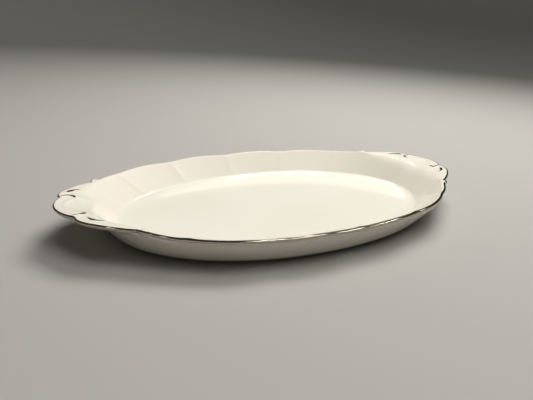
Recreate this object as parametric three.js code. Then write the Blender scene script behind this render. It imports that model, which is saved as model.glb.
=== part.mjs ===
// Oval porcelain serving platter with two tab handles, a scalloped rim, a foot ring and
// platinum decoration. Millimetres, +Z up, long axis along X, standing on z = 0.
import * as THREE from 'three';

// ---- Driving dimensions -------------------------------------------------------------

// Plan of the rim
const LENGTH = 360; // over the tips of the two tab handles
const MIDDLE_WIDTH = 201; // across the two dips in the middle of the long sides
const DIP_OVAL_SHORTFALL = 18.3; // from a tab's tip back to the end of the oval through the dips
const OVAL_POWER = 2.1; // superellipse power of every oval of the well
const LARGE_SCALLOP_BULGE = 3.4; // of the four scallops next to the middle dips
const SECOND_SCALLOP_BULGE = 4.4; // of the next four
const SMALL_SCALLOP_BULGE = 1.6; // of the four next to the tabs
const FIRST_DIP_SHARE = 0.45; // where the dips divide the rim between the middle and the curl
const SECOND_DIP_SHARE = 0.84;

// Tab handles, measured back from the tip and out from the long axis
const CURL_FROM_TIP = 41; // the small curl where the tab leaves the oval
const CURL_LENGTH = 7.4;
const CURL_BULGE = 2.4;
const CURL_RISE = 1.2; // of the curl over the rim beside it
const NOTCH_FROM_TIP = 8.6;
const NOTCH_HALF_SPACING = 20.4;
const SIDE_LOBE_CORNER = [1.3, 2.6]; // from the notch to the side lobe's corner beside it
const SIDE_LOBE_SHOULDER = [-6.6, 15.4]; // from the notch to where the side lobe turns most
const SIDE_LOBE_END_BULGE = 1.5; // of the side lobe from its corner to its shoulder
const SIDE_LOBE_LONG_BULGE = 1.3; // from its shoulder to the curl
const TAB_WIDTH_ON_AXIS = 25; // flat of the tab, from the mouth of the well to the tip
const TAB_SLOPE = 0.12; // rise of the tab towards its edge
const MOUTH_BLEND = 4; // how softly the mouth's oval runs into the lip's inner edge

// Heights above the surface that the platter stands on
const SIDE_RIM_HEIGHT = 23.4; // at the dips
const SCALLOP_RISE = 1.2; // of the middle of a scallop over its dips
const TAB_RISE = 5.8; // of the tips over the side rim
const RISE_LENGTH = 90; // stretch of rim in which the tab rises
const FLOOR_HEIGHT = 5.6; // top of the well's floor
const COVE_HEIGHT = 2.6; // of the rounding between floor and wall
const FOOT_HEIGHT = 1.8;

// Well and underside, as insets from the oval through the dips
const WALL_FOOT_INSET = [25.2, 19.5]; // inner wall, where the cove starts
const COVE_WIDTH = 15;
const SHOULDER_INSET = [19.4, 11]; // widest place low on the outer wall
const SHOULDER_HEIGHT = 3.7;
const SHOULDER_REACH = 4.2; // from the shoulder in to the flat underside

// Lip and platinum line
const LIP_WIDTH = 3.4;
const LIP_THICKNESS = 3.1;
const LINE_THICKNESS = 0.35;
const LINE_GAP = 0.3;
const LINE_PROFILE = [[-2.6, 0], [-1.3, -0.05], [-0.35, -0.5], [0, -1.35], [-0.35, -2.2]];

// Foot ring
const FOOT_INSET = 7.6; // from the shoulder in to the ring
const FOOT_WIDTH = 3.6;
const FOOT_BEVEL = 0.7;
const FOOT_SEGMENTS = 72;

// Platinum strokes: path points measured from the notch, outwards along X and Y, and widths
const STROKE_HEIGHT = 0.5;
const STROKE_GAP = 0.3;
const STROKE_TOP_SHARE = 0.56; // width of a stroke's flat top as a share of its foot's
const STROKE_STEPS = 10;
const HOOK_STROKE = {
  path: [[-3.6, -0.6], [-6.4, -0.2], [-8.5, -2.4], [-8, -5.6]],
  widths: [0.9, 1.7, 2.5, 0.9],
};
const OUTER_STROKE = {
  path: [[-5.6, 4.6], [-7.6, 7.8], [-11, 10.8], [-16.6, 12.4]],
  widths: [1.1, 2.3, 1.5, 0.6],
};

// How finely each stretch of a quarter of the rim is divided
const RIM_STEPS = {
  endLobe: 5, lobeEnd: 3, lobeLong: 4, curl: 4, small: 4, second: 7, large: 8,
};
const COVE_STEPS = 4;

// ---- Finishes -----------------------------------------------------------------------

const GLAZE = { color: 0xf2eee2, roughness: 0.12, metalness: 0 };
const BARE_CHINA = { color: 0xe9e3d6, roughness: 0.7, metalness: 0 };
const PLATINUM = { color: 0xc9c6bf, roughness: 0.15, metalness: 1 };

// ---- Plan: arcs and ovals -----------------------------------------------------------

const halfLength = LENGTH / 2;
const dipOval = { a: halfLength - DIP_OVAL_SHORTFALL, b: MIDDLE_WIDTH / 2 };

const insetOval = (oval, [end, side]) => ({ a: oval.a - end, b: oval.b - side });
const insetEvenly = (oval, distance) => insetOval(oval, [distance, distance]);

// Height of an oval over the long axis at a given x.
function ovalY({ a, b }, x) {
  return b * (1 - (x / a) ** OVAL_POWER) ** (1 / OVAL_POWER);
}

// Distance from the centre to an oval in the direction of a unit vector.
function ovalRadius({ a, b }, [dx, dy]) {
  const power = (Math.abs(dx) / a) ** OVAL_POWER + (Math.abs(dy) / b) ** OVAL_POWER;
  return power ** (-1 / OVAL_POWER);
}

// Points of a circular arc from one point up to, but without, the next, bulging to the right
// of the way it runs. The third value is how far the rim rises there, most in the middle.
function arcPoints([x0, y0], [x1, y1], bulge, steps, rise = 0) {
  const chord = Math.hypot(x1 - x0, y1 - y0);
  const [tx, ty] = [(x1 - x0) / chord, (y1 - y0) / chord];
  const radius = (chord * chord / 4 + bulge * bulge) / (2 * bulge);
  const halfAngle = Math.asin(chord / 2 / radius);
  return Array.from({ length: steps }, (_, i) => {
    const angle = halfAngle * (2 * i / steps - 1);
    const along = chord / 2 + radius * Math.sin(angle);
    const out = radius * Math.cos(angle) - (radius - bulge);
    const wave = 4 * rise * (i / steps) * (1 - i / steps);
    return [x0 + tx * along + ty * out, y0 + ty * along - tx * out, wave];
  });
}

// One quarter of the rim, from the tip of the tab round to the middle of the long side.
function quarterRim() {
  const curlX = halfLength - CURL_FROM_TIP;
  const onDipOval = (x) => [x, ovalY(dipOval, x), 0];
  const notch = [halfLength - NOTCH_FROM_TIP, NOTCH_HALF_SPACING, 0];
  const fromNotch = ([dx, dy]) => [notch[0] + dx, notch[1] + dy];
  const lobeCorner = fromNotch(SIDE_LOBE_CORNER);
  const lobeShoulder = fromNotch(SIDE_LOBE_SHOULDER);
  const curlEnd = onDipOval(curlX + CURL_LENGTH / 2 * Math.SQRT1_2);
  const curlStart = onDipOval(curlX - CURL_LENGTH / 2 * Math.SQRT1_2);
  const secondDip = onDipOval(curlX * SECOND_DIP_SHARE);
  const firstDip = onDipOval(curlX * FIRST_DIP_SHARE);
  const middleDip = [0, dipOval.b, 0];
  const mirroredNotch = [notch[0], -notch[1]];
  const wholeEndLobe = arcPoints(mirroredNotch, notch, NOTCH_FROM_TIP, 2 * RIM_STEPS.endLobe);
  return [
    ...wholeEndLobe.slice(RIM_STEPS.endLobe),
    notch,
    ...arcPoints(lobeCorner, lobeShoulder, SIDE_LOBE_END_BULGE, RIM_STEPS.lobeEnd),
    ...arcPoints(lobeShoulder, curlEnd, SIDE_LOBE_LONG_BULGE, RIM_STEPS.lobeLong),
    ...arcPoints(curlEnd, curlStart, CURL_BULGE, RIM_STEPS.curl, CURL_RISE),
    ...arcPoints(curlStart, secondDip, SMALL_SCALLOP_BULGE, RIM_STEPS.small),
    ...arcPoints(secondDip, firstDip, SECOND_SCALLOP_BULGE, RIM_STEPS.second, SCALLOP_RISE),
    ...arcPoints(firstDip, middleDip, LARGE_SCALLOP_BULGE, RIM_STEPS.large, SCALLOP_RISE),
    middleDip,
  ];
}

// The whole rim, anticlockwise from the tip at +X, mirrored in both axes.
function wholeRim() {
  const quarter = quarterRim();
  const mirroredInX = quarter.slice(0, -1).reverse().map(([x, y, wave]) => [-x, y, wave]);
  const upper = [...quarter, ...mirroredInX];
  return [...upper, ...upper.slice(1, -1).reverse().map(([x, y, wave]) => [x, -y, wave])];
}

// ---- Heights ------------------------------------------------------------------------

// Height of the rim's top, which rises smoothly into the tabs.
function rimHeight(x) {
  const share = (Math.abs(x) - (halfLength - RISE_LENGTH)) / RISE_LENGTH;
  return SIDE_RIM_HEIGHT + TAB_RISE * THREE.MathUtils.smoothstep(share, 0, 1);
}

// The rim's points with their directions and distances from the centre and their heights.
const rim = wholeRim().map(([x, y, wave]) => {
  const distance = Math.hypot(x, y);
  return { x, y, distance, direction: [x / distance, y / distance], top: rimHeight(x) + wave };
});

// Distance from the centre to the mouth of the well: the oval of the mouth at the tabs, and
// the inner edge of the lip along the sides, with a smooth change from one to the other.
const mouthOval = { a: halfLength - TAB_WIDTH_ON_AXIS, b: dipOval.b + LARGE_SCALLOP_BULGE };
function mouthRadius({ distance, direction }) {
  const lip = distance - LIP_WIDTH;
  const oval = ovalRadius(mouthOval, direction);
  const mix = THREE.MathUtils.clamp(0.5 + (oval - lip) / (2 * MOUTH_BLEND), 0, 1);
  return oval + (lip - oval) * mix - MOUTH_BLEND * mix * (1 - mix) / 2;
}

// Height of the tab's or the lip's top at a distance from the centre.
function topHeight(point, radius) {
  return point.top - TAB_SLOPE * (point.distance - radius);
}

// ---- Solids from rings --------------------------------------------------------------

function meshFrom(name, finish, positions, triangles) {
  const geometry = new THREE.BufferGeometry();
  geometry.setAttribute('position', new THREE.Float32BufferAttribute(positions.flat(), 3));
  geometry.setIndex(triangles);
  geometry.computeVertexNormals();
  const mesh = new THREE.Mesh(geometry, new THREE.MeshStandardMaterial(finish));
  mesh.name = name;
  return mesh;
}

// Triangles between two rings of vertices that start at the given places.
function bandBetween(first, second, count) {
  return Array.from({ length: count }, (_, i) => {
    const next = (i + 1) % count;
    return [first + i, first + next, second + next, first + i, second + next, second + i];
  }).flat();
}

// A solid with a pole at each end: rings run from the top pole outwards and back underneath.
function solidWithPoles(name, finish, topPole, rings, bottomPole) {
  const count = rings[0].length;
  const positions = [topPole, ...rings.flat(), bottomPole];
  const ringStart = (k) => 1 + k * count;
  const last = positions.length - 1;
  const triangles = [];
  for (let i = 0; i < count; i += 1) {
    const next = (i + 1) % count;
    triangles.push(0, ringStart(0) + i, ringStart(0) + next);
    triangles.push(last, ringStart(rings.length - 1) + next, ringStart(rings.length - 1) + i);
  }
  for (let k = 0; k + 1 < rings.length; k += 1) {
    triangles.push(...bandBetween(ringStart(k + 1), ringStart(k), count));
  }
  return meshFrom(name, finish, positions, triangles);
}

// A closed ring: the last ring of vertices joins the first.
function closedRing(name, finish, rings) {
  const count = rings[0].length;
  const triangles = rings.flatMap((_, k) => (
    bandBetween(((k + 1) % rings.length) * count, k * count, count)
  ));
  return meshFrom(name, finish, rings.flat(), triangles);
}

// A ring of points, one per rim point, from a function giving [radius, height].
function ringOf(radiusAndHeight) {
  return rim.map((point) => {
    const [radius, height] = radiusAndHeight(point);
    return [point.direction[0] * radius, point.direction[1] * radius, height];
  });
}

// ---- Platter body -------------------------------------------------------------------

const wallFootOval = insetOval(dipOval, WALL_FOOT_INSET);
const floorOval = insetEvenly(wallFootOval, COVE_WIDTH);
const shoulderOval = insetOval(dipOval, SHOULDER_INSET);
const undersideOval = insetEvenly(shoulderOval, SHOULDER_REACH);
const wallFootHeight = FLOOR_HEIGHT + COVE_HEIGHT;

// The line's section moved inwards by a distance, point by point along its normals.
function shrunkProfile(distance) {
  return LINE_PROFILE.map(([r, z], i) => {
    const [r0, z0] = LINE_PROFILE[Math.max(i - 1, 0)];
    const [r1, z1] = LINE_PROFILE[Math.min(i + 1, LINE_PROFILE.length - 1)];
    const length = Math.hypot(r1 - r0, z1 - z0);
    return [r + distance * (z1 - z0) / length, z - distance * (r1 - r0) / length];
  });
}

function lipRings(profile) {
  return profile.map(([dr, dz]) => ringOf((point) => {
    const radius = point.distance + dr;
    return [radius, topHeight(point, Math.min(radius, point.distance)) + dz];
  }));
}

// Rounding between the wall and the floor: a quadratic curve whose corner is where the line
// of the wall would meet the floor.
function coveRings() {
  return Array.from({ length: COVE_STEPS }, (_, k) => {
    const t = k / COVE_STEPS;
    return ringOf((point) => {
      const inner = ovalRadius(floorOval, point.direction);
      const outer = ovalRadius(wallFootOval, point.direction);
      const wallRun = mouthRadius(point) - outer;
      const wallRise = topHeight(point, mouthRadius(point)) - wallFootHeight;
      const corner = outer - wallRun * COVE_HEIGHT / wallRise;
      const radius = (1 - t) ** 2 * inner + 2 * t * (1 - t) * corner + t * t * outer;
      return [radius, FLOOR_HEIGHT + COVE_HEIGHT * t * t];
    });
  });
}

function platterBody() {
  const wallTop = (point) => [mouthRadius(point), topHeight(point, mouthRadius(point))];
  const flangeUnder = (point) => {
    const radius = mouthRadius(point) + LIP_WIDTH / 2;
    return [radius, topHeight(point, radius) - LIP_THICKNESS - LIP_WIDTH / 2];
  };
  const lip = lipRings(shrunkProfile(LINE_THICKNESS + LINE_GAP));
  const rings = [
    ...coveRings(),
    ringOf(({ direction }) => [ovalRadius(wallFootOval, direction), wallFootHeight]),
    ringOf(wallTop),
    ...lip,
    ringOf((point) => {
      const radius = point.distance - LIP_WIDTH / 2;
      return [radius, topHeight(point, radius) - LIP_THICKNESS];
    }),
    ringOf(flangeUnder),
    ringOf(({ direction }) => [ovalRadius(shoulderOval, direction), SHOULDER_HEIGHT]),
    ringOf(({ direction }) => [ovalRadius(undersideOval, direction), FOOT_HEIGHT]),
  ];
  return solidWithPoles('platter_body', GLAZE, [0, 0, FLOOR_HEIGHT], rings, [0, 0, FOOT_HEIGHT]);
}

// ---- Platinum line round the edge ---------------------------------------------------

function platinumLine() {
  const outside = lipRings(LINE_PROFILE);
  const inside = lipRings(shrunkProfile(LINE_THICKNESS));
  return closedRing('platinum_edge_line', PLATINUM, [...outside, ...inside.reverse()]);
}

// ---- Foot ring ----------------------------------------------------------------------

function footRing() {
  const outer = insetEvenly(shoulderOval, FOOT_INSET);
  const inner = insetEvenly(outer, FOOT_WIDTH);
  const ring = (oval, height) => Array.from({ length: FOOT_SEGMENTS }, (_, i) => {
    const angle = 2 * Math.PI * i / FOOT_SEGMENTS;
    const direction = [Math.cos(angle), Math.sin(angle)];
    const radius = ovalRadius(oval, direction);
    return [direction[0] * radius, direction[1] * radius, height];
  });
  return closedRing('foot_ring', BARE_CHINA, [
    ring(outer, FOOT_HEIGHT),
    ring(outer, FOOT_BEVEL),
    ring(insetEvenly(outer, FOOT_BEVEL), 0),
    ring(insetEvenly(inner, -FOOT_BEVEL), 0),
    ring(inner, FOOT_BEVEL),
    ring(inner, FOOT_HEIGHT),
  ]);
}

// ---- Platinum strokes on the tabs ---------------------------------------------------

// Top of the body near a tab at any place, from the rim point in the nearest direction.
function tabTop(x, y) {
  const radius = Math.hypot(x, y);
  const angle = Math.atan2(Math.abs(y), Math.abs(x));
  const quarter = rim.filter((point) => point.x > 0 && point.y >= 0);
  const pointAngle = (point) => Math.atan2(point.y, point.x);
  const after = quarter.findIndex((point) => pointAngle(point) > angle);
  const [low, high] = [quarter[after - 1], quarter[after]];
  const share = (angle - pointAngle(low)) / (pointAngle(high) - pointAngle(low));
  return topHeight(low, radius) * (1 - share) + topHeight(high, radius) * share;
}

// A tapered, flat-topped stroke that follows the tab. The signs place it on one of the four
// corners of the platter.
function stroke(name, { path, widths }, signX, signY) {
  const notch = [halfLength - NOTCH_FROM_TIP, NOTCH_HALF_SPACING];
  const points = path.map(([dx, dy]) => new THREE.Vector3(notch[0] + dx, notch[1] + dy, 0));
  const curve = new THREE.CatmullRomCurve3(points);
  const widthCurve = new THREE.SplineCurve(widths.map((width, i) => new THREE.Vector2(i, width)));
  const halfTop = STROKE_TOP_SHARE / 2;
  const corners = [[-0.5, 0], [0.5, 0], [halfTop, STROKE_HEIGHT], [-halfTop, STROKE_HEIGHT]];
  const sections = Array.from({ length: STROKE_STEPS + 1 }, (_, k) => {
    const t = k / STROKE_STEPS;
    const centre = curve.getPoint(t);
    const tangent = curve.getTangent(t);
    const width = widthCurve.getPoint(t).y;
    return corners.map(([across, height]) => {
      const x = centre.x - tangent.y * width * across;
      const y = centre.y + tangent.x * width * across;
      return [signX * x, signY * y, tabTop(x, y) + STROKE_GAP + height];
    });
  });
  const count = corners.length;
  const last = STROKE_STEPS * count;
  const triangles = [0, 2, 1, 0, 3, 2, last, last + 1, last + 2, last, last + 2, last + 3];
  for (let k = 0; k < STROKE_STEPS; k += 1) {
    triangles.push(...bandBetween(k * count, (k + 1) * count, count));
  }
  if (signX * signY < 0) {
    triangles.reverse();
  }
  return meshFrom(name, PLATINUM, sections.flat(), triangles);
}

// ---- Assembly -----------------------------------------------------------------------

const platter = new THREE.Group();
platter.add(platterBody(), footRing(), platinumLine());

const ENDS = { right: 1, left: -1 };
const SIDES = { far: 1, near: -1 };
for (const [end, signX] of Object.entries(ENDS)) {
  for (const [side, signY] of Object.entries(SIDES)) {
    platter.add(stroke(`platinum_hook_${end}_${side}`, HOOK_STROKE, signX, signY));
    platter.add(stroke(`platinum_tail_${end}_${side}`, OUTER_STROKE, signX, signY));
  }
}

export default platter;
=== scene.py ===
"""Oval porcelain serving platter with two tab handles and platinum decoration.

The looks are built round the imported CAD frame: metres, +Z up, long axis along X, the foot
ring standing on z = 0. The body, its foot and the platinum are turned from small sections
or laid as strips, and then shaped by the same plan of arcs and ovals as the CAD.
"""

import logging
import math
from dataclasses import dataclass, field
from enum import Enum
from typing import Any

import bmesh
import bpy
import numpy as np
from mathutils import Matrix, Vector


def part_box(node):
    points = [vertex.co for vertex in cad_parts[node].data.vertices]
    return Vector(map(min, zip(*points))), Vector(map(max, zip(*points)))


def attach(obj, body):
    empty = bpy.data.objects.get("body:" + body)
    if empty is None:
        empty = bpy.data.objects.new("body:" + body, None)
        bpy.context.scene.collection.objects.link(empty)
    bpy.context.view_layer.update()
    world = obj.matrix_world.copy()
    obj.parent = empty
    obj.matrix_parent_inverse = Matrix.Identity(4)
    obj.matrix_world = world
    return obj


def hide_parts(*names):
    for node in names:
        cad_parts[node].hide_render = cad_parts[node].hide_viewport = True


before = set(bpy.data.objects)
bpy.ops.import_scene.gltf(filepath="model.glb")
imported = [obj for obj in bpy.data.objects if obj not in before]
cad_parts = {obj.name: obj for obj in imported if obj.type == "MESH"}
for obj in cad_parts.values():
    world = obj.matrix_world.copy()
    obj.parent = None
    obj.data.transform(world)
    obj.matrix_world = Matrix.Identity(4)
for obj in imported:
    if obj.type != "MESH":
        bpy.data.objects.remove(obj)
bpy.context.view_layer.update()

MM = 0.001
MERGE_DISTANCE = 0.0001 * MM
SMOOTH_RANGE = {"interpolation_type": "SMOOTHSTEP"}
# The sockets that a Mix node uses for colours, by number because their names repeat.
MIX_SHARE, MIX_FIRST, MIX_SECOND, MIX_RESULT = 0, 6, 7, 2

Pair = tuple[float, float]
Row = tuple[np.ndarray, np.ndarray]

log = logging.getLogger("platter")


class End(Enum):
    """The two ends of the platter, with the sign of x there."""

    RIGHT = 1
    LEFT = -1


class Side(Enum):
    """The two long sides of the platter, with the sign of y there."""

    FAR = 1
    NEAR = -1


def smoothstep(low: float, high: float, value: np.ndarray) -> np.ndarray:
    """Eases values from 0 at low to 1 at high."""
    share = np.clip((value - low) / (high - low), 0.0, 1.0)
    return share * share * (3 - 2 * share)


def quadratic(start: Row, control: Row, end: Row, shares: np.ndarray) -> list[Row]:
    """Rows along a quadratic curve from one row of points to another.

    Args:
        start: Radii and heights where the curve starts.
        control: Radii and heights of its control points.
        end: Radii and heights where it ends.
        shares: Places along the curve, from 0 to 1.

    Returns:
        One row for each share.
    """
    rows = []
    for share in shares:
        weights = ((1 - share) ** 2, 2 * share * (1 - share), share**2)
        parts = list(zip(weights, (start, control, end)))
        rows.append((sum(w * p[0] for w, p in parts), sum(w * p[1] for w, p in parts)))
    return rows


def straight(start: Row, end: Row, shares: np.ndarray) -> list[Row]:
    """Rows along straight lines from one row of points to another.

    Args:
        start: Radii and heights where the lines start.
        end: Radii and heights where they end.
        shares: Places along the lines, from 0 to 1.

    Returns:
        One row for each share.
    """
    return [
        (start[0] + (end[0] - start[0]) * t, start[1] + (end[1] - start[1]) * t)
        for t in shares
    ]


@dataclass(frozen=True)
class Oval:
    """A superellipse round the centre, with half axes a along X and b along Y."""

    a: float
    b: float
    power: float = 2.1

    def inset(self, end: float, side: float) -> "Oval":
        """The oval with shorter half axes."""
        return Oval(self.a - end, self.b - side, self.power)

    def y_at(self, x: float) -> float:
        """Height of the oval over the long axis at x."""
        return self.b * (1 - (x / self.a) ** self.power) ** (1 / self.power)

    def radius(self, direction: np.ndarray) -> np.ndarray:
        """Distance from the centre to the oval.

        Args:
            direction: Unit vectors, one a row.

        Returns:
            The distance along each of them.
        """
        total = (np.abs(direction[:, 0]) / self.a) ** self.power
        total += (np.abs(direction[:, 1]) / self.b) ** self.power
        return total ** (-1 / self.power)


@dataclass(frozen=True)
class Arc:
    """A circular arc of the rim's plan, bulging to the right of the way it runs."""

    start: Pair
    end: Pair
    bulge: float
    spacing: float
    rise: float = 0.0

    def samples(self) -> list[tuple[float, float, float]]:
        """Points from the start up to, but without, the end.

        Returns:
            The x, y and extra height of each point.
        """
        chord = math.dist(self.start, self.end)
        tx, ty = ((e - s) / chord for s, e in zip(self.start, self.end))
        radius = (chord**2 / 4 + self.bulge**2) / (2 * self.bulge)
        half_angle = math.asin(chord / 2 / radius)
        steps = max(2, 2 * round(half_angle * radius / self.spacing))
        points = []
        for share in np.arange(steps) / steps:
            angle = half_angle * (2 * share - 1)
            along = chord / 2 + radius * math.sin(angle)
            out = radius * math.cos(angle) - (radius - self.bulge)
            x = self.start[0] + tx * along + ty * out
            y = self.start[1] + ty * along - tx * out
            points.append((x, y, 4 * self.rise * share * (1 - share)))
        return points


@dataclass
class Rim:
    """The outline of the platter: scallops, dips, curls and the lobes of the two tabs.

    A column is one direction from the centre. Every ring of the body and of the edge line
    has one vertex in each column.
    """

    length: float
    side_height: float = 23.4 * MM
    tab_rise: float = 5.8 * MM
    rise_length: float = 90 * MM
    dip_half_width: float = 100.5 * MM
    dip_shortfall: float = 18.3 * MM
    curl_from_tip: float = 41 * MM
    curl_length: float = 7.4 * MM
    curl_bulge: float = 2.1 * MM
    curl_rise: float = 0.8 * MM
    scallop_rise: float = 1.2 * MM
    scallop_bulges: tuple[float, float, float] = (1.6 * MM, 4.4 * MM, 3.4 * MM)
    dip_shares: Pair = (0.84, 0.45)
    notch_from_tip: float = 8.6 * MM
    notch_half_spacing: float = 20.4 * MM
    lobe_corner: Pair = (1.3 * MM, 2.6 * MM)
    lobe_shoulder: Pair = (-6.6 * MM, 15.4 * MM)
    lobe_bulges: Pair = (1.5 * MM, 1.3 * MM)
    tab_spacing: float = 0.85 * MM
    side_spacing: float = 1.7 * MM
    softening_rounds: int = 4
    tab_softness: float = 1.0
    x: np.ndarray = field(init=False)
    y: np.ndarray = field(init=False)
    top: np.ndarray = field(init=False)
    distance: np.ndarray = field(init=False)
    direction: np.ndarray = field(init=False)
    angle: np.ndarray = field(init=False)

    def __post_init__(self) -> None:
        """Works out the columns from the sizes."""
        whole = self.mirrored(self.quarter())
        x, y, wave = (self.softened(whole[:, k], whole[:, 0]) for k in range(3))
        self.x, self.y = x, y
        rise_start = self.half_length - self.rise_length
        eased = smoothstep(rise_start, self.half_length, np.abs(x))
        self.top = self.side_height + self.tab_rise * eased + wave
        self.distance = np.hypot(x, y)
        self.direction = np.stack([x, y], axis=1) / self.distance[:, None]
        self.angle = np.unwrap(np.arctan2(y, x))

    @property
    def half_length(self) -> float:
        """Distance from the centre to the tip of a tab."""
        return self.length / 2

    @property
    def dip_oval(self) -> Oval:
        """The oval through the dips between the scallops."""
        return Oval(self.half_length - self.dip_shortfall, self.dip_half_width)

    @property
    def notch(self) -> Pair:
        """The notch between the end lobe and the side lobe, in the far right corner."""
        return self.half_length - self.notch_from_tip, self.notch_half_spacing

    @property
    def curl_x(self) -> float:
        """Where the middle of a curl is along the long axis."""
        return self.half_length - self.curl_from_tip

    @property
    def dips(self) -> list[Pair]:
        """The dips of the far right quarter, from the tab to the middle."""
        xs = [self.curl_x * share for share in self.dip_shares] + [0.0]
        return [(x, self.dip_oval.y_at(x)) for x in xs]

    @property
    def columns(self) -> int:
        """How many columns go round the rim."""
        return len(self.x)

    def quarter(self) -> np.ndarray:
        """The rim from the tip at +X round to the middle of the far side.

        Returns:
            One row a point: x, y and extra height.
        """
        oval = self.dip_oval
        half_curl = self.curl_length / 2 * math.sqrt(0.5)
        curl_end, curl_start = (
            (x, oval.y_at(x)) for x in (self.curl_x + half_curl, self.curl_x - half_curl)
        )
        second_dip, first_dip, middle = self.dips
        notch_x, notch_y = self.notch
        corner = (notch_x + self.lobe_corner[0], notch_y + self.lobe_corner[1])
        shoulder = (notch_x + self.lobe_shoulder[0], notch_y + self.lobe_shoulder[1])
        small, second, large = self.scallop_bulges
        tab, side, rise = self.tab_spacing, self.side_spacing, self.scallop_rise
        end_lobe = Arc((notch_x, -notch_y), self.notch, self.notch_from_tip, tab).samples()
        arcs = (
            Arc(corner, shoulder, self.lobe_bulges[0], tab),
            Arc(shoulder, curl_end, self.lobe_bulges[1], tab),
            Arc(curl_end, curl_start, self.curl_bulge, tab, self.curl_rise),
            Arc(curl_start, second_dip, small, side),
            Arc(second_dip, first_dip, second, side, rise),
            Arc(first_dip, middle, large, side, rise),
        )
        points = end_lobe[len(end_lobe) // 2 :] + [(notch_x, notch_y, 0.0)]
        for arc in arcs:
            points += arc.samples()
        return np.array(points + [(*middle, 0.0)])

    def mirrored(self, quarter: np.ndarray) -> np.ndarray:
        """The whole rim, anticlockwise from the tip at +X.

        Args:
            quarter: The points of the far right quarter.

        Returns:
            The points of all four.
        """
        left = quarter[-2::-1] * (-1, 1, 1)
        upper = np.concatenate([quarter, left])
        return np.concatenate([upper, upper[-2:0:-1] * (1, -1, 1)])

    def softened(self, values: np.ndarray, x: np.ndarray) -> np.ndarray:
        """Rounds the corners of the outline, as the glaze does, more along the sides.

        Args:
            values: One coordinate of every point of the rim.
            x: The points' x.

        Returns:
            The coordinate with its corners rounded.
        """
        reach = self.curl_x - self.curl_length
        side_share = 1 - smoothstep(reach - self.curl_length, reach, np.abs(x))
        weight = self.tab_softness + (1 - self.tab_softness) * side_share
        for _ in range(self.softening_rounds):
            beside = (np.roll(values, 1) + np.roll(values, -1)) / 2
            values = values + weight * (beside - values) / 2
        return values

    def between(self, values: np.ndarray, angle: np.ndarray) -> np.ndarray:
        """A value of the columns, in the directions of the given angles."""
        return np.interp(angle, self.angle, values, period=2 * math.pi)


@dataclass(frozen=True)
class BrushPath:
    """A curved path on a tab, from the notch inwards, with its width and its raised scroll.

    The points are in millimetres from the notch of its corner, outwards along X and Y.
    """

    name: str
    end: End
    side: Side
    points: tuple[Pair, ...]
    widths: tuple[float, ...]
    scroll_height: float
    scroll_width: float
    reach: float = 28 * MM
    steps: int = 36
    least_width: float = 0.2

    def centre(self, share: float) -> Pair:
        """The middle of the path at a share of its length, measured from the notch."""
        x = self.smooth([p[0] * MM for p in self.points], share)
        return x, self.smooth([p[1] * MM for p in self.points], share)

    def width(self, share: float) -> float:
        """How wide the brush stroke is at a share of its length."""
        return max(self.smooth(list(self.widths), share), self.least_width * min(self.widths))

    @staticmethod
    def smooth(values: list[float], share: float) -> float:
        """A Catmull-Rom curve through evenly spread values.

        Args:
            values: The values that it passes through.
            share: Place along it, from 0 to 1.

        Returns:
            The value there.
        """
        spans = len(values) - 1
        span = min(int(share * spans), spans - 1)
        t = share * spans - span
        ends = [2 * values[0] - values[1], *values, 2 * values[-1] - values[-2]]
        p0, p1, p2, p3 = ends[span : span + 4]
        square = (2 * p0 - 5 * p1 + 4 * p2 - p3) * t * t
        cube = (3 * p1 - p0 - 3 * p2 + p3) * t**3
        return 0.5 * (2 * p1 + (p2 - p0) * t + square + cube)

    def distance(self, u: np.ndarray, v: np.ndarray) -> tuple[np.ndarray, np.ndarray]:
        """How far points are from the path.

        Args:
            u: The points' x, measured from the notch.
            v: Their y, measured from the notch.

        Returns:
            The distance to the path, and the share of the path's length nearest to it.
        """
        shares = np.linspace(0, 1, self.steps + 1)
        centres = [self.centre(share) for share in shares]
        gaps = np.stack([np.hypot(u - x, v - y) for x, y in centres])
        return gaps.min(axis=0), shares[gaps.argmin(axis=0)]


HOOK_WIDTHS = (0.7 * MM, 0.9 * MM, 1.7 * MM, 3.0 * MM, 0.7 * MM)
TAIL_WIDTHS = (0.9 * MM, 2.9 * MM, 1.5 * MM, 0.6 * MM)
HOOK_SCROLL = (0.62 * MM, 1.7 * MM)
TAIL_SCROLL = (0.52 * MM, 1.9 * MM)

PLAIN_HOOK = ((-0.6, -0.4), (-3.6, -0.7), (-6.4, -0.3), (-8.6, -2.2), (-8.2, -5.6))
FAR_LEFT_HOOK = ((-0.6, -0.2), (-3.4, 0.6), (-6.2, 1.5), (-9.0, 0.2), (-9.4, -4.0))
NEAR_LEFT_HOOK = ((0.4, -2.6), (-2.2, -3.2), (-5.0, -3.9), (-7.4, -5.4), (-8.2, -8.2))
PLAIN_TAIL = ((-5.4, 4.2), (-7.6, 7.6), (-11.0, 10.6), (-16.6, 12.4))
FAR_LEFT_TAIL = ((-6.4, 8.4), (-9.2, 10.4), (-12.5, 11.9), (-17.0, 13.0))
NEAR_LEFT_TAIL = ((-7.2, 2.6), (-9.2, 7.2), (-12.0, 10.2), (-16.4, 11.4))


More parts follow.
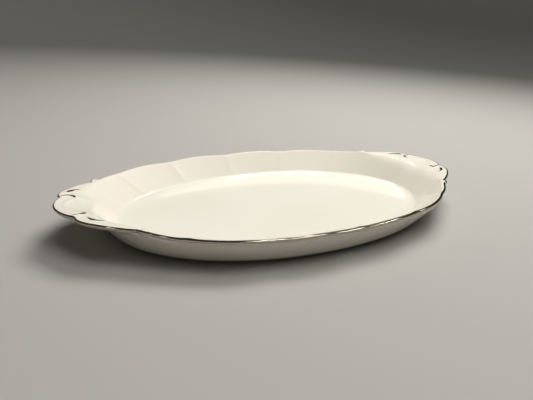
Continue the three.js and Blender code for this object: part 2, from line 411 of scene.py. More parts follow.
def brush_paths() -> tuple[BrushPath, ...]:
    """The eight strokes, each brushed by hand and so a little different.

    Returns:
        A hook and a tail for each corner of the platter.
    """
    hooks = {(End.LEFT, Side.FAR): FAR_LEFT_HOOK, (End.LEFT, Side.NEAR): NEAR_LEFT_HOOK}
    tails = {(End.LEFT, Side.FAR): FAR_LEFT_TAIL, (End.LEFT, Side.NEAR): NEAR_LEFT_TAIL}
    paths = []
    for end in End:
        for side in Side:
            hook = hooks.get((end, side), PLAIN_HOOK)
            tail = tails.get((end, side), PLAIN_TAIL)
            paths.append(BrushPath("hook", end, side, hook, HOOK_WIDTHS, *HOOK_SCROLL))
            paths.append(BrushPath("tail", end, side, tail, TAIL_WIDTHS, *TAIL_SCROLL))
    return tuple(paths)


@dataclass(frozen=True)
class Relief:
    """The moulded relief of the tabs: scrolls under the strokes, a shell and the curls."""

    rim: Rim
    paths: tuple[BrushPath, ...] = field(default_factory=brush_paths)
    shell_inset: float = 7.5 * MM
    shell_width: float = 1.6 * MM
    shell_height: float = 0.4 * MM
    shell_half_angle: float = math.radians(78)
    shell_fade_from: float = 0.55
    hollow_depth: float = 0.45 * MM
    hollow_radius: float = 8 * MM
    hollow_stretch: float = 0.6
    curl_inset: float = 2.4 * MM
    curl_depth: float = 0.5 * MM
    curl_radius: float = 2.0 * MM
    curl_ring_height: float = 0.55
    curl_ring_width: float = 1.2 * MM
    dimple_radius: float = 1.4 * MM
    scroll_end_height: float = 0.45
    scroll_fullness: float = 0.7
    flute_height: float = 0.55 * MM
    flute_width: float = 3.4 * MM
    flute_reach: Pair = (0.78, 0.9)

    def at(self, place: np.ndarray) -> np.ndarray:
        """Height of the relief over the plain tab.

        Args:
            place: The x and y of each place, one place a row.

        Returns:
            The height at each place, below zero in a hollow.
        """
        x, y = place.T
        scrolls = [self.scroll(path, x, y) for path in self.paths]
        moulding = np.maximum.reduce(scrolls) + self.shell(x, y)
        return moulding + self.curl(x, y) + self.flutes(x, y)

    def flutes(self, x: np.ndarray, y: np.ndarray) -> np.ndarray:
        """The soft ribs that run from the dips of the rim down the inner wall.

        Args:
            x: Places along the long axis.
            y: Places across it.

        Returns:
            The height at each place.
        """
        direction = np.stack([x, y], axis=1) / np.maximum(np.hypot(x, y), MM)[:, None]
        share = np.hypot(x, y) / self.rim.dip_oval.radius(direction)
        ribs = np.zeros_like(x)
        for dip_x, dip_y in self.rim.dips:
            across = (np.abs(x) * dip_y - np.abs(y) * dip_x) / math.hypot(dip_x, dip_y)
            ribs = np.maximum(ribs, np.exp(-((across / self.flute_width) ** 2)))
        return self.flute_height * ribs * smoothstep(*self.flute_reach, share)

    def scroll(self, path: BrushPath, x: np.ndarray, y: np.ndarray) -> np.ndarray:
        """The raised scroll under one stroke.

        Args:
            path: The stroke's path.
            x: Places along the long axis.
            y: Places across it.

        Returns:
            The height at each place.
        """
        notch_x, notch_y = self.rim.notch
        u, v = x * path.end.value - notch_x, y * path.side.value - notch_y
        near = np.hypot(u, v) < path.reach
        gap, share = path.distance(u[near], v[near])
        rounded = np.sin(math.pi * share) ** self.scroll_fullness
        swell = self.scroll_end_height + (1 - self.scroll_end_height) * rounded
        height = np.zeros_like(u)
        height[near] = path.scroll_height * swell * np.exp(-((gap / path.scroll_width) ** 2))
        return height

    def shell(self, x: np.ndarray, y: np.ndarray) -> np.ndarray:
        """The shell of the end lobe: a shallow hollow inside a raised crescent.

        Args:
            x: Places along the long axis.
            y: Places across it.

        Returns:
            The height at each place.
        """
        radius = self.rim.notch_half_spacing - self.shell_inset / 2
        centre = self.rim.half_length - self.shell_inset - radius
        along = np.abs(x) - centre
        gap = np.hypot(along, y) - radius
        turn = np.abs(np.arctan2(y, along))
        fade_start = self.shell_half_angle * self.shell_fade_from
        fade = 1 - smoothstep(fade_start, self.shell_half_angle, turn)
        crescent = self.shell_height * fade * np.exp(-((gap / self.shell_width) ** 2))
        middle = np.hypot(along - radius + self.hollow_radius, y * self.hollow_stretch)
        hollow = self.hollow_depth * np.exp(-2 * (middle / self.hollow_radius) ** 2)
        return crescent - hollow

    def curl(self, x: np.ndarray, y: np.ndarray) -> np.ndarray:
        """The dimple in the turn of each curl, which makes it a small volute.

        Args:
            x: Places along the long axis.
            y: Places across it.

        Returns:
            The height at each place.
        """
        curl_y = self.rim.dip_oval.y_at(self.rim.curl_x) - self.curl_inset
        gap = np.hypot(np.abs(x) - self.rim.curl_x, np.abs(y) - curl_y)
        ring = np.exp(-(((gap - self.curl_radius) / self.curl_ring_width) ** 2))
        dimple = np.exp(-((gap / self.dimple_radius) ** 2))
        return self.curl_depth * (self.curl_ring_height * ring - dimple)


@dataclass
class Platter:
    """The sizes of the body, and the shapes of its top, lip and underside."""

    rim: Rim
    relief: Relief
    film: float = 0.12 * MM
    tab_width: float = 25 * MM
    tab_slope: float = 0.12
    mouth_blend: float = 4 * MM
    lip_width: float = 3.4 * MM
    lip_round: float = 2.6 * MM
    lip_crest_drop: float = 1.35 * MM
    lip_under_round: float = 1.7 * MM
    lip_thickness: float = 3.1 * MM
    floor_height: float = 5.6 * MM
    floor_dish: float = 0.5 * MM
    cove_height: float = 2.6 * MM
    cove_width: float = 15 * MM
    wall_foot_inset: Pair = (25.2 * MM, 19.5 * MM)
    wall_scallop: float = 0.5
    shoulder_inset: Pair = (19.4 * MM, 11 * MM)
    shoulder_height: float = 3.7 * MM
    shoulder_reach: float = 4.2 * MM
    foot_height: float = 1.8 * MM

    @property
    def edge(self) -> np.ndarray:
        """Distance from the centre to the outermost glaze in each column."""
        return self.rim.distance - self.film

    def mouth(self) -> np.ndarray:
        """Distance from the centre to the mouth of the well in each column.

        Returns:
            The oval of the mouth at the tabs and the inner edge of the lip along the
            sides, with a smooth change from one to the other.
        """
        rim = self.rim
        side = rim.dip_half_width + rim.scallop_bulges[2]
        oval = Oval(rim.half_length - self.tab_width, side).radius(rim.direction)
        lip = rim.distance - self.lip_width
        mix = np.clip(0.5 + (oval - lip) / (2 * self.mouth_blend), 0, 1)
        return oval + (lip - oval) * mix - self.mouth_blend * mix * (1 - mix) / 2

    def plain_top(self, radius: np.ndarray) -> np.ndarray:
        """Height of the tab or the lip, without relief, at a radius in each column."""
        return self.rim.top - self.film - self.tab_slope * (self.rim.distance - radius)

    def top_at(self, place: np.ndarray) -> np.ndarray:
        """Height of a tab, with its relief, at any place.

        Args:
            place: The x and y of each place, one place a row.

        Returns:
            The height at each place.
        """
        x, y = place.T
        angle, radius = np.arctan2(y, x), np.hypot(x, y)
        back = self.rim.between(self.rim.distance, angle) - radius
        plain = self.rim.between(self.rim.top, angle) - self.film - self.tab_slope * back
        return plain + self.relief.at(place)

    def lip_row(self, share: float | np.ndarray, lift: float = 0.0) -> Row:
        """One row of the lip, from the flat of the tab over the edge and underneath.

        Args:
            share: 0 where the rounding starts, 1 at the outermost place, 2 underneath.
            lift: Distance outwards from the glaze.

        Returns:
            Radius and height in each column.
        """
        over = np.clip(share, 0, 1) * math.pi / 2
        under = np.clip(share - 1, 0, 1) * math.pi / 2
        crest, side = self.lip_crest_drop, self.lip_thickness - self.lip_crest_drop
        back = self.lip_round * (1 - np.sin(over)) + self.lip_under_round * (1 - np.cos(under))
        drop = crest * (1 - np.cos(over)) + side * np.sin(under)
        out = np.where(share <= 1, crest * np.sin(over), side * np.cos(under))
        up = np.where(
            share <= 1, self.lip_round * np.cos(over), -self.lip_under_round * np.sin(under)
        )
        radius = self.edge - back
        place = self.rim.direction * radius[:, None]
        relief = np.maximum(0, 1 - share) * self.relief.at(place)
        height = self.plain_top(radius) - drop + relief
        length = np.hypot(out, up)
        return radius + lift * out / length, height + lift * up / length


@dataclass
class Turned:
    """A mesh turned from a section and then given its own shape in every column.

    Args:
        rows: Radius and height in every column, one row a vertex of the section.
        direction: The unit vector of every column.
        closed: Whether the section's last vertex joins its first.
    """

    rows: list[Row]
    direction: np.ndarray
    closed: bool

    def build(self) -> bmesh.types.BMesh:
        """Spins the section at the first column and moves every vertex to its place.

        Returns:
            The closed mesh.
        """
        bm = bmesh.new()
        row_of = bm.verts.layers.int.new("row")
        section = []
        for index, (radius, height) in enumerate(self.rows):
            vertex = bm.verts.new((radius[0], 0, height[0]))
            vertex[row_of] = index
            section.append(vertex)
        pairs = list(zip(section, section[1:]))
        if self.closed:
            pairs.append((section[-1], section[0]))
        edges = [bm.edges.new(pair) for pair in pairs]
        columns = len(self.direction)
        bmesh.ops.spin(
            bm, geom=section + edges, cent=(0, 0, 0), axis=(0, 0, 1),
            angle=2 * math.pi, steps=columns, use_merge=True,
        )
        for vertex in bm.verts:
            radius, height = self.rows[vertex[row_of]]
            turn = math.atan2(vertex.co.y, vertex.co.x) / (2 * math.pi)
            column = round(turn * columns) % columns
            x, y = self.direction[column] * radius[column]
            vertex.co = (x, y, height[column])
        bmesh.ops.remove_doubles(bm, verts=bm.verts, dist=MERGE_DISTANCE)
        bmesh.ops.recalc_face_normals(bm, faces=bm.faces)
        return bm


def finished(
    name: str, bm: bmesh.types.BMesh, materials: list[bpy.types.Material]
) -> bpy.types.Object:
    """Makes an object of a mesh and links it to the scene.

    Args:
        name: Name of the piece.
        bm: Its mesh, which is freed.
        materials: Its materials, in the order of the faces' material numbers.

    Returns:
        The object, at the origin.
    """
    mesh = bpy.data.meshes.new(name)
    bm.to_mesh(mesh)
    bm.free()
    mesh.polygons.foreach_set("use_smooth", [True] * len(mesh.polygons))
    for material in materials:
        mesh.materials.append(material)
    piece = bpy.data.objects.new(name, mesh)
    bpy.context.scene.collection.objects.link(piece)
    log.info("%s: %d faces", name, len(mesh.polygons))
    return piece


@dataclass(frozen=True)
class Value:
    """A shader socket with arithmetic, each operation adding one Math node."""

    graph: "Graph"
    socket: bpy.types.NodeSocket

    def math(self, operation: str, *others: "Value | float") -> "Value":
        """Adds a Math node whose first input is this value."""
        inputs = dict(enumerate((self, *others)))
        return self.graph.node("ShaderNodeMath", {"operation": operation}, inputs).out(0)

    def __add__(self, other: "Value | float") -> "Value":
        """This value plus another."""
        return self.math("ADD", other)

    def __radd__(self, other: float) -> "Value":
        """A number plus this value."""
        return self + other

    def __mul__(self, other: "Value | float") -> "Value":
        """This value times another."""
        return self.math("MULTIPLY", other)

    def __rmul__(self, other: float) -> "Value":
        """A number times this value."""
        return self * other

    def __sub__(self, other: "Value | float") -> "Value":
        """This value less another."""
        return self.math("SUBTRACT", other)

    def __rsub__(self, other: float) -> "Value":
        """A number less this value."""
        return self * -1.0 + other


@dataclass(frozen=True)
class Placed:
    """A node that has been added, and its outputs as values."""

    graph: "Graph"
    node: bpy.types.ShaderNode

    def out(self, key: int | str) -> Value:
        """One of the node's outputs."""
        return Value(self.graph, self.node.outputs[key])


@dataclass(frozen=True)
class Graph:
    """The node tree of one material."""

    tree: bpy.types.ShaderNodeTree

    def node(self, kind: str, settings: dict[str, Any], inputs: dict[int | str, Any]) -> Placed:
        """Adds a node.

        Args:
            kind: Blender's name for the type of node.
            settings: Its settings, set before its sockets.
            inputs: A value, a number or a colour for each socket, by number or name.

        Returns:
            The node.
        """
        node = self.tree.nodes.new(kind)
        for name, setting in settings.items():
            setattr(node, name, setting)
        for key, given in inputs.items():
            if isinstance(given, Value):
                self.tree.links.new(given.socket, node.inputs[key])
            else:
                node.inputs[key].default_value = given
        return Placed(self, node)

    def place(self) -> Value:
        """The place on the object, in its own coordinates."""
        return self.node("ShaderNodeTexCoord", {}, {}).out("Object")

    def noise(self, scale: float, detail: float, roughness: float = 0.5) -> Value:
        """A cloudy pattern round a half, with so many patches in a metre."""
        inputs = {"Vector": self.place(), "Scale": scale, "Detail": detail, "Roughness": roughness}
        return self.node("ShaderNodeTexNoise", {}, inputs).out("Fac")

    def height(self) -> Value:
        """Height on the object, in metres."""
        return self.node("ShaderNodeSeparateXYZ", {}, {0: self.place()}).out("Z")

    def eased(self, value: Value, low: float, high: float) -> Value:
        """Eases a value from 0 at low to 1 at high."""
        inputs = {"Value": value, "From Min": low, "From Max": high}
        return self.node("ShaderNodeMapRange", SMOOTH_RANGE, inputs).out("Result")

    def blend(self, share: Value, first: Any, second: Any) -> Value:
        """Mixes two colours, with a share of the second."""
        inputs = {MIX_SHARE: share, MIX_FIRST: first, MIX_SECOND: second}
        return self.node("ShaderNodeMix", {"data_type": "RGBA"}, inputs).out(MIX_RESULT)

    def bump(self, height: Value, strength: float, distance: float) -> Value:
        """A normal bent by a pattern, whose 1 stands a distance in metres high."""
        inputs = {"Height": height, "Strength": strength, "Distance": distance}
        return self.node("ShaderNodeBump", {}, inputs).out("Normal")

    def surface(self, inputs: dict[str, Any]) -> None:
        """Adds the shader with its inputs and joins it to the output."""
        shader = self.node("ShaderNodeBsdfPrincipled", {}, inputs)
        self.node("ShaderNodeOutputMaterial", {}, {"Surface": shader.out("BSDF")})


def new_graph(name: str) -> tuple[bpy.types.Material, Graph]:
    """Makes a material with an empty node tree.

    Args:
        name: Name of the material.

    Returns:
        The material and its graph.
    """
    material = bpy.data.materials.new(name)
    material.use_nodes = True
    material.node_tree.nodes.clear()
    return material, Graph(material.node_tree)


@dataclass(frozen=True)
class GlazedPorcelain:
    """Warm white porcelain under a clear gloss glaze."""

    white: tuple[float, ...] = (0.86, 0.825, 0.735, 1)
    cream: tuple[float, ...] = (0.83, 0.785, 0.685, 1)
    pooled: tuple[float, ...] = (0.80, 0.815, 0.72, 1)
    roughness: float = 0.07
    roughness_swing: float = 0.05
    cloud_scale: float = 9.0
    cloud_range: Pair = (0.35, 0.7)
    pooled_range: Pair = (5 * MM, 11 * MM)
    pooled_share: float = 0.25
    ripple_scale: float = 38.0
    ripple_height: float = 0.02 * MM
    ripple_strength: float = 0.5
    fine_scale: float = 260.0
    index: float = 1.52

    def material(self) -> bpy.types.Material:
        """Makes the material.

        Returns:
            A glaze with faint clouds of colour, soft ripples and a slightly greener tint
            low in the well, where it lies thicker.
        """
        material, graph = new_graph("glazed_porcelain")
        clouds = graph.eased(graph.noise(self.cloud_scale, 3.0), *self.cloud_range)
        body = graph.blend(clouds, self.white, self.cream)
        low = 1 - graph.eased(graph.height(), *self.pooled_range)
        tinted = graph.blend(low * self.pooled_share, body, self.pooled)
        ripples = graph.noise(self.ripple_scale, 2.0)
        fine = graph.noise(self.fine_scale, 2.0)
        graph.surface({
            "Base Color": tinted,
            "Roughness": self.roughness + fine * self.roughness_swing,
            "IOR": self.index,
            "Normal": graph.bump(ripples, self.ripple_strength, self.ripple_height),
        })
        return material


@dataclass(frozen=True)
class BarePorcelain:
    """The ground, unglazed face of the foot."""

    light: tuple[float, ...] = (0.70, 0.66, 0.58, 1)
    dark: tuple[float, ...] = (0.56, 0.52, 0.45, 1)
    grain_scale: float = 1800.0
    grain_height: float = 0.06 * MM
    grain_strength: float = 0.6
    patch_scale: float = 60.0
    patch_range: Pair = (0.35, 0.7)
    patch_share: float = 0.6
    grain_share: float = 0.3
    roughness: float = 0.6
    roughness_swing: float = 0.3

    def material(self) -> bpy.types.Material:
        """Makes the material.

        Returns:
            A matt, fine-grained biscuit with rubbed darker patches.
        """
        material, graph = new_graph("bare_porcelain")
        grain = graph.noise(self.grain_scale, 4.0, 0.7)
        patches = graph.eased(graph.noise(self.patch_scale, 4.0), *self.patch_range)
        darker = patches * self.patch_share + grain * self.grain_share
        graph.surface({
            "Base Color": graph.blend(darker, self.light, self.dark),
            "Roughness": self.roughness + grain * self.roughness_swing,
            "Normal": graph.bump(grain, self.grain_strength, self.grain_height),
        })
        return material


@dataclass(frozen=True)
class Platinum:
    """Fired platinum, brushed on by hand and burnished."""

    bright: tuple[float, ...] = (0.56, 0.52, 0.45, 1)
    warm: tuple[float, ...] = (0.36, 0.30, 0.22, 1)
    roughness: float = 0.08
    roughness_swing: float = 0.12
    brush_scale: float = 420.0
    brush_range: Pair = (0.35, 0.75)
    brush_share: float = 0.6
    brush_height: float = 0.01 * MM
    brush_strength: float = 0.3
    wear_scale: float = 120.0
    wear_range: Pair = (0.5, 0.8)
    wear_share: float = 0.3

    def material(self) -> bpy.types.Material:
        """Makes the material.

        Returns:
            A metal whose tone and polish vary where the brush left more or less of it.
        """
        material, graph = new_graph("platinum")
        brush = graph.eased(graph.noise(self.brush_scale, 4.0, 0.6), *self.brush_range)
        wear = graph.eased(graph.noise(self.wear_scale, 2.0), *self.wear_range)
        warmer = brush * self.brush_share + wear * self.wear_share
        graph.surface({
            "Base Color": graph.blend(warmer, self.bright, self.warm),
            "Metallic": 1.0,
            "Roughness": self.roughness + brush * self.roughness_swing,
            "Normal": graph.bump(brush, self.brush_strength, self.brush_height),
        })
        return material


@dataclass(frozen=True)
class Finishes:
    """The materials of the platter."""

    glaze: bpy.types.Material
    bare: bpy.types.Material
    platinum: bpy.types.Material


@dataclass
class Body:
    """The one-piece porcelain body: well, tabs, lip, outer wall and underside."""

    platter: Platter
    floor_shares: tuple[float, ...] = (0.0, 0.1, 0.25, 0.4, 0.55, 0.7, 0.82, 0.91, 0.97)
    cove_steps: int = 12
    wall_steps: int = 8
    mouth_steps: int = 6
    tab_steps: int = 27
    lip_steps: int = 12
    flange_steps: int = 5
    outer_steps: int = 9
    shoulder_steps: int = 6
    wide_turn: float = 8 * MM
    narrow_turn: float = 0.9 * MM
    turn_share: float = 0.5
    shoulder_share: float = 0.25
    shoulder_lean: float = 0.0875

    def build(self) -> bmesh.types.BMesh:
        """Makes the closed mesh of the body."""
        rows = self.well() + self.tab() + self.lip() + self.outside() + self.underside()
        return Turned(rows, self.platter.rim.direction, closed=False).build()

    @property
    def zero(self) -> np.ndarray:
        """A zero for every column."""
        return np.zeros(self.platter.rim.columns)

    def wall_foot(self) -> Row:
        """Where the inner wall starts, with a little of the scallops left in it.

        Returns:
            Radius and height in each column.
        """
        p = self.platter
        oval = p.rim.dip_oval.inset(*p.wall_foot_inset).radius(p.rim.direction)
        scallop = p.rim.distance - p.rim.dip_oval.radius(p.rim.direction)
        side = 1 - smoothstep(p.rim.curl_x - 3 * p.cove_width, p.rim.curl_x, np.abs(p.rim.x))
        height = self.zero + p.floor_height + p.cove_height
        return oval + p.wall_scallop * scallop * side, height

    def wall_top(self) -> Row:
        """The corner between the inner wall and the flat of the tab or lip."""
        mouth = self.platter.mouth()
        return mouth, self.platter.plain_top(mouth)

    def turn_ends(self) -> tuple[Row, Row]:
        """Where the rounding between the inner wall and the flat starts and ends.

        Returns:
            The row on the wall and the row on the flat.
        """
        p = self.platter
        foot, top = self.wall_foot(), self.wall_top()
        flat = p.edge - p.lip_round - top[0]
        reach = np.clip(flat * self.turn_share, self.narrow_turn / 2, self.wide_turn)
        length = np.hypot(top[0] - foot[0], top[1] - foot[1])
        share = 1 - (reach + self.narrow_turn) / length
        start = (foot[0] + (top[0] - foot[0]) * share, foot[1] + (top[1] - foot[1]) * share)
        end = top[0] + reach
        return start, (end, p.plain_top(end))

    def well(self) -> list[Row]:
        """Makes the floor, the cove, the inner wall and its turn into the flat.

        Returns:
            Their rows, from the centre outwards.
        """
        p = self.platter
        foot, top = self.wall_foot(), self.wall_top()
        oval = p.rim.dip_oval.inset(*p.wall_foot_inset)
        floor_edge = oval.inset(p.cove_width, p.cove_width).radius(p.rim.direction)
        floor = [
            (floor_edge * t, self.zero + p.floor_height + p.floor_dish * (t**4))
            for t in self.floor_shares
        ]
        start = (floor_edge, self.zero + p.floor_height + p.floor_dish)
        slope = (top[0] - foot[0]) / (top[1] - foot[1])
        corner = (foot[0] - slope * (foot[1] - start[1]), start[1])
        cove = quadratic(start, corner, foot, np.arange(self.cove_steps) / self.cove_steps)
        turn_start, turn_end = self.turn_ends()
        wall = straight(foot, turn_start, np.arange(self.wall_steps) / self.wall_steps)
        shares = np.arange(self.mouth_steps) / self.mouth_steps
        turn = quadratic(turn_start, top, turn_end, shares)
        return floor + cove + [self.raised(row) for row in wall + turn]

    def tab(self) -> list[Row]:
        """Makes the flat, from the turn of the wall to the rounding of the lip.

        Returns:
            Its rows, outwards.
        """
        p = self.platter
        _, start = self.turn_ends()
        end = p.edge - p.lip_round
        shares = np.arange(self.tab_steps) / self.tab_steps
        rows = straight(start, (end, p.plain_top(end)), shares)
        return [self.raised(row) for row in rows]

    def lip(self) -> list[Row]:
        """Rows of the lip, round its edge."""
        shares = np.linspace(0, 2, 2 * self.lip_steps + 1)
        return [self.platter.lip_row(share) for share in shares]

    def raised(self, row: Row) -> Row:
        """Adds the relief to a row of the top.

        Args:
            row: Radius and height in each column.

        Returns:
            The row with its relief.
        """
        radius, height = row
        place = self.platter.rim.direction * radius[:, None]
        return radius, height + self.platter.relief.at(place)

    def outside(self) -> list[Row]:
        """Makes the tab's underside and the outer wall, down to the shoulder.

        Returns:
            Their rows, inwards.
        """
        p = self.platter
        under = p.lip_row(2.0)
        corner_radius = p.mouth() + p.lip_under_round
        drop = p.lip_thickness + p.lip_under_round
        corner = (corner_radius, p.plain_top(corner_radius) - drop)
        shoulder_oval = p.rim.dip_oval.inset(*p.shoulder_inset)
        shoulder = (shoulder_oval.radius(p.rim.direction), self.zero + p.shoulder_height)
        reach = np.clip((under[0] - corner[0]) * self.turn_share, 0, self.wide_turn)
        length = np.hypot(corner[0] - shoulder[0], corner[1] - shoulder[1])
        share = (reach + self.narrow_turn) / length
        flange_share = reach / np.maximum(under[0] - corner[0], self.narrow_turn)
        turn_start = tuple(c + (u - c) * flange_share for c, u in zip(corner, under))
        turn_end = tuple(c + (s - c) * share for c, s in zip(corner, shoulder))
        wall_end = tuple(s + (c - s) * self.shoulder_share for c, s in zip(corner, shoulder))
        base_radius = shoulder[0] - p.shoulder_reach
        base = (base_radius, self.zero + p.foot_height)
        low_corner = (shoulder[0] - self.shoulder_lean * (corner[0] - shoulder[0]), base[1])
        flange_shares = np.arange(1, self.flange_steps + 1) / self.flange_steps
        flange = straight(under, turn_start, flange_shares)
        turn_shares = np.arange(1, self.mouth_steps) / self.mouth_steps
        turn = quadratic(turn_start, corner, turn_end, turn_shares)
        wall = straight(turn_end, wall_end, np.arange(self.outer_steps) / self.outer_steps)
        shoulder_shares = np.arange(self.shoulder_steps + 1) / self.shoulder_steps
        return flange + turn + wall + quadratic(wall_end, low_corner, base, shoulder_shares)

    def underside(self) -> list[Row]:
        """Makes the flat underside, from the shoulder in to the centre.

        Returns:
            Its rows.
        """
        p = self.platter
        shoulder_oval = p.rim.dip_oval.inset(*p.shoulder_inset)
        edge = shoulder_oval.radius(p.rim.direction) - p.shoulder_reach
        height = self.zero + p.foot_height
        shares = [1 - share for share in self.floor_shares[1:]]
        return [(edge * t, height) for t in shares] + [(self.zero, height)]

    def dress(self, finishes: Finishes) -> bpy.types.Object:
        """Builds the piece and puts it in the frame.

        Args:
            finishes: The platter's materials.

        Returns:
            The piece.
        """
        piece = finished("porcelain_body", self.build(), [finishes.glaze])
        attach(piece, "root")
        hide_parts("platter_body")
        return piece


@dataclass
class FootRing:
    """The low foot under the well: glazed sides and a ground, bare face."""

    platter: Platter
    inset: float = 7.6 * MM
    width: float = 3.6 * MM
    round: float = 0.7 * MM
    fillet: float = 0.5 * MM
    columns: int = 240
    turn_steps: int = 4

    def rows(self) -> list[Row]:
        """The closed section of the ring in every column.

        Returns:
            Radius and height of every vertex, from the top of the outer side round.
        """
        p = self.platter
        oval = p.rim.dip_oval.inset(*p.shoulder_inset).inset(self.inset, self.inset)
        outer = oval.radius(self.direction)
        offsets = []
        for step in range(self.turn_steps + 1):
            turn = math.pi / 2 * step / self.turn_steps
            back = self.round * (1 - math.cos(turn))
            offsets.append((back, self.round * (1 - math.sin(turn))))
        sides = [(-self.fillet, p.foot_height), (0.0, p.foot_height - self.fillet)]
        outside = sides + offsets
        inside = [(self.width - back, z) for back, z in reversed(outside)]
        return [(outer - back, np.full(self.columns, z)) for back, z in outside + inside]

    @property
    def direction(self) -> np.ndarray:
        """The unit vector of every column."""
        turns = 2 * math.pi * np.arange(self.columns) / self.columns
        return np.stack([np.cos(turns), np.sin(turns)], axis=1)

    def dress(self, finishes: Finishes) -> bpy.types.Object:
        """Builds the piece and puts it in the frame.

        Args:
            finishes: The platter's materials.

        Returns:
            The piece.
        """
        bm = Turned(self.rows(), self.direction, closed=True).build()
        for face in bm.faces:
            face.material_index = int(face.calc_center_median().z < self.round / 2)
        piece = finished("foot_ring_face", bm, [finishes.glaze, finishes.bare])
        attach(piece, "root")
        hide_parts("foot_ring")
        return piece


@dataclass
class EdgeLine:
    """The platinum line brushed round the whole edge, over the crest of the lip."""

    platter: Platter
    top_share: float = 0.32
    top_swing: float = 0.22
    wide_direction: float = math.radians(-60)
    under_share: float = 1.42
    swell_power: float = 0.35
    steps: int = 10
    clearance: float = 0.015 * MM

    def rows(self) -> list[Row]:
        """The closed section of the line in every column.

        Returns:
            Radius and height of every vertex: outer face from the top, inner face back.
        """
        p = self.platter
        outside, inside = [], []
        tops = self.top_share - self.top_swing * np.cos(p.rim.angle - self.wide_direction)
        for share in np.linspace(0, 1, self.steps + 1):
            places = tops + (self.under_share - tops) * share
            swell = math.sin(math.pi * share) ** self.swell_power
            lift = self.clearance * 2 + (p.film - self.clearance * 2) * swell
            outside.append(p.lip_row(places, lift))
            inside.append(p.lip_row(places, self.clearance))
        return outside + inside[::-1]

    def dress(self, finishes: Finishes) -> bpy.types.Object:
        """Builds the piece and puts it in the frame.

        Args:
            finishes: The platter's materials.

        Returns:
            The piece.
        """
        bm = Turned(self.rows(), self.platter.rim.direction, closed=True).build()
        piece = finished("edge_line_platinum", bm, [finishes.platinum])
        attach(piece, "root")
        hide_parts("platinum_edge_line")
        return piece


@dataclass
class Stroke:
    """One brush stroke of platinum on the raised scroll of a tab."""

    platter: Platter
    path: BrushPath
    across: int = 8
    clearance: float = 0.03 * MM
    thickness: float = 0.05 * MM
    crown: float = 0.06 * MM
    end_share: float = 0.02
    end_fullness: float = 1.6

    def build(self) -> bmesh.types.BMesh:
        """Bends a flat grid along the path and gives it its thickness.

        Returns:
            The closed mesh of the stroke.
        """
        bm = bmesh.new()
        bmesh.ops.create_grid(bm, x_segments=self.path.steps, y_segments=self.across, size=0.5)
        places = np.array([self.place(v.co.x + 0.5, v.co.y) for v in bm.verts])
        tops = self.platter.top_at(places)
        for vertex, (x, y), top in zip(bm.verts, places, tops):
            crown = self.crown * (1 - (2 * vertex.co.y) ** 2)
            vertex.co = (x, y, top + self.clearance + self.thickness + crown)
        bmesh.ops.recalc_face_normals(bm, faces=bm.faces)
        if sum(face.normal.z for face in bm.faces) < 0:
            bmesh.ops.reverse_faces(bm, faces=bm.faces)
        bmesh.ops.solidify(bm, geom=bm.faces[:], thickness=self.thickness)
        bmesh.ops.recalc_face_normals(bm, faces=bm.faces)
        return bm

    def place(self, share: float, offset: float) -> Pair:
        """A point of the stroke.

        Args:
            share: Place along the path, from 0 to 1.
            offset: Place across it, from -0.5 to 0.5.

        Returns:
            Its x and y in this stroke's corner of the platter.
        """
        step = 0.5 / self.path.steps
        x, y = self.path.centre(share)
        x0, y0 = self.path.centre(max(share - step, 0))
        x1, y1 = self.path.centre(min(share + step, 1))
        run = math.hypot(x1 - x0, y1 - y0)
        inner = min(max(share, self.end_share), 1 - self.end_share)
        taper = self.end_fullness * math.sqrt(math.sin(math.pi * inner))
        width = self.path.width(share) * min(1.0, taper)
        notch_x, notch_y = self.platter.rim.notch
        x += notch_x - (y1 - y0) / run * width * offset
        y += notch_y + (x1 - x0) / run * width * offset
        return self.path.end.value * x, self.path.side.value * y

    def dress(self, finishes: Finishes) -> bpy.types.Object:
        """Builds the piece and puts it in the frame.

        Args:
            finishes: The platter's materials.

        Returns:
            The piece.
        """
        where = f"{self.path.name}_{self.path.end.name}_{self.path.side.name}".lower()
        piece = finished(f"stroke_{where}", self.build(), [finishes.platinum])
        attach(piece, "root")
        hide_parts(f"platinum_{where}")
        return piece


@dataclass
class Softbox:
    """A rectangular soft light aimed at the platter.

    A broad light only lights the surfaces. A mirrored lamp is only seen as a glint in them.
    """

    name: str
    azimuth: float
    elevation: float
    distance: float
    size: Pair
    power: float
    mirrored: bool = False
    colour: tuple[float, float, float] = (1.0, 0.98, 0.94)

    def build(self, centre: Vector) -> bpy.types.Object:
        """Makes the light.

        Args:
            centre: What it is aimed at.

        Returns:
            The light's object.
        """
        light = bpy.data.lights.new(self.name, "AREA")
        light.shape = "RECTANGLE"
        light.size, light.size_y = self.size
        light.energy = self.power
        light.color = self.colour
        lamp = bpy.data.objects.new(self.name, light)
        turn, tilt = math.radians(self.azimuth), math.radians(self.elevation)
        flat = math.cos(tilt)
        back = Vector((math.sin(turn) * flat, -math.cos(turn) * flat, math.sin(tilt)))
        lamp.location = centre + back * self.distance
        lamp.rotation_euler = back.to_track_quat("Z", "Y").to_euler()
        lamp.visible_glossy = self.mirrored
        lamp.visible_diffuse = not self.mirrored
        lamp.visible_camera = False
        bpy.context.scene.collection.objects.link(lamp)
        return lamp


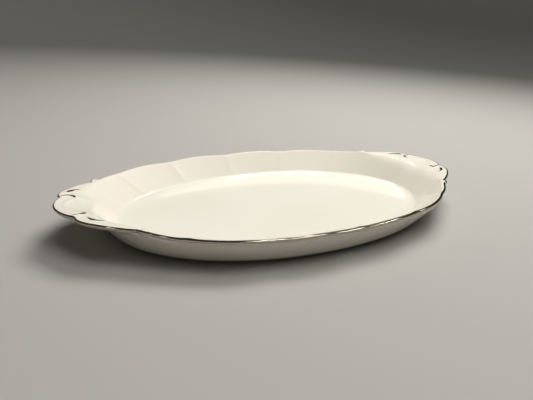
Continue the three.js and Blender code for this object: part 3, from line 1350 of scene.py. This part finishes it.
@dataclass
class Studio:
    """The pale sweep that the platter stands on, the lights and the camera."""

    centre: Vector
    floor_radius: float = 1.6
    sweep_radius: float = 0.5
    sweep_steps: int = 12
    sweep_columns: int = 96
    floor_roughness: float = 0.9
    floor_colour: tuple[float, ...] = (0.42, 0.41, 0.39, 1)
    world_colour: tuple[float, ...] = (0.31, 0.30, 0.285, 1)
    world_strength: float = 0.16
    lights: tuple[Softbox, ...] = (
        Softbox("key", 118, 56, 1.2, (0.7, 0.5), 14.2),
        Softbox("overhead", 15, 74, 1.3, (0.9, 0.9), 8.3),
        Softbox("panel", 150, 52, 1.5, (1.4, 0.4), 1.0, True),
        Softbox("low_lamp", 140, 41, 1.2, (0.14, 0.05), 0.4, True),
        Softbox("high_lamp", 101, 66, 1.2, (0.14, 0.05), 0.4, True),
        Softbox("side_lamp", 66, 40, 1.2, (0.7, 0.08), 2.5, True),
        Softbox("front_lamp", 20, 50, 1.2, (0.6, 0.1), 3.0, True),
        Softbox("left_lamp", -58, 40, 1.2, (0.16, 0.12), 0.5, True),
    )
    azimuth: float = math.radians(-33.458)
    elevation: float = math.radians(19.623)
    roll: float = math.radians(3.863)
    aim: tuple[float, float, float] = (-32.473 * MM, -29.314 * MM, 24 * MM)
    distance: float = 407.293 * MM
    lens: float = 36.27
    clip_start: float = 20 * MM

    def build(self) -> None:
        """Makes the sweep, the lights, the surroundings and the camera."""
        self.sweep()
        for light in self.lights:
            light.build(self.centre)
        self.surroundings()
        self.camera()
        bpy.context.scene.view_settings.view_transform = "Standard"

    def sweep(self) -> bpy.types.Object:
        """Makes the floor, which curves up into a low wall all round.

        Returns:
            The floor's object.
        """
        bm = bmesh.new()
        points = [(0, 0, 0), (self.floor_radius, 0, 0)]
        for step in range(1, self.sweep_steps + 1):
            turn = math.pi / 2 * step / self.sweep_steps
            run = self.floor_radius + self.sweep_radius * math.sin(turn)
            points.append((run, 0, self.sweep_radius * (1 - math.cos(turn))))
        verts = [bm.verts.new(point) for point in points]
        edges = [bm.edges.new(pair) for pair in zip(verts, verts[1:])]
        bmesh.ops.spin(
            bm, geom=verts + edges, cent=(0, 0, 0), axis=(0, 0, 1),
            angle=2 * math.pi, steps=self.sweep_columns, use_merge=True,
        )
        bmesh.ops.remove_doubles(bm, verts=bm.verts, dist=MERGE_DISTANCE)
        bmesh.ops.recalc_face_normals(bm, faces=bm.faces)
        bmesh.ops.reverse_faces(bm, faces=bm.faces)
        material, graph = new_graph("studio_floor")
        graph.surface({"Base Color": self.floor_colour, "Roughness": self.floor_roughness})
        return finished("studio_sweep", bm, [material])

    def surroundings(self) -> None:
        """Makes the even light that comes from everywhere."""
        world = bpy.data.worlds.new("studio")
        world.use_nodes = True
        background = world.node_tree.nodes["Background"]
        background.inputs["Color"].default_value = self.world_colour
        background.inputs["Strength"].default_value = self.world_strength
        bpy.context.scene.world = world

    def camera(self) -> None:
        """Makes the camera, aimed past the platter's middle and turned a little."""
        flat = math.cos(self.elevation)
        back = Vector((
            math.sin(self.azimuth) * flat,
            -math.cos(self.azimuth) * flat,
            math.sin(self.elevation),
        ))
        right = (-back).cross(Vector((0, 0, 1))).normalized()
        up = right.cross(-back)
        cos, sin = math.cos(self.roll), math.sin(self.roll)
        axes = (right * cos + up * sin, up * cos - right * sin, back)
        data = bpy.data.cameras.new("camera")
        data.lens = self.lens
        data.clip_start = self.clip_start
        camera = bpy.data.objects.new("camera", data)
        camera.matrix_world = (
            Matrix.Translation(Vector(self.aim) + back * self.distance)
            @ Matrix(axes).transposed().to_4x4()
        )
        bpy.context.scene.collection.objects.link(camera)
        bpy.context.scene.camera = camera


def main() -> None:
    """Builds the platter and its studio."""
    logging.basicConfig(level=logging.INFO, format="%(message)s")
    low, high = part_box("platinum_edge_line")
    rim = Rim(length=high.x - low.x)
    platter = Platter(rim, Relief(rim))
    finishes = Finishes(
        GlazedPorcelain().material(), BarePorcelain().material(), Platinum().material()
    )
    parts = [Body(platter), FootRing(platter), EdgeLine(platter)]
    parts += [Stroke(platter, path) for path in platter.relief.paths]
    for part in parts:
        piece = part.dress(finishes)
        log.info("dressed %s", piece.name)
    centre = Vector(((low.x + high.x) / 2, (low.y + high.y) / 2, 0))
    Studio(centre).build()


if __name__ == "__main__":
    main()
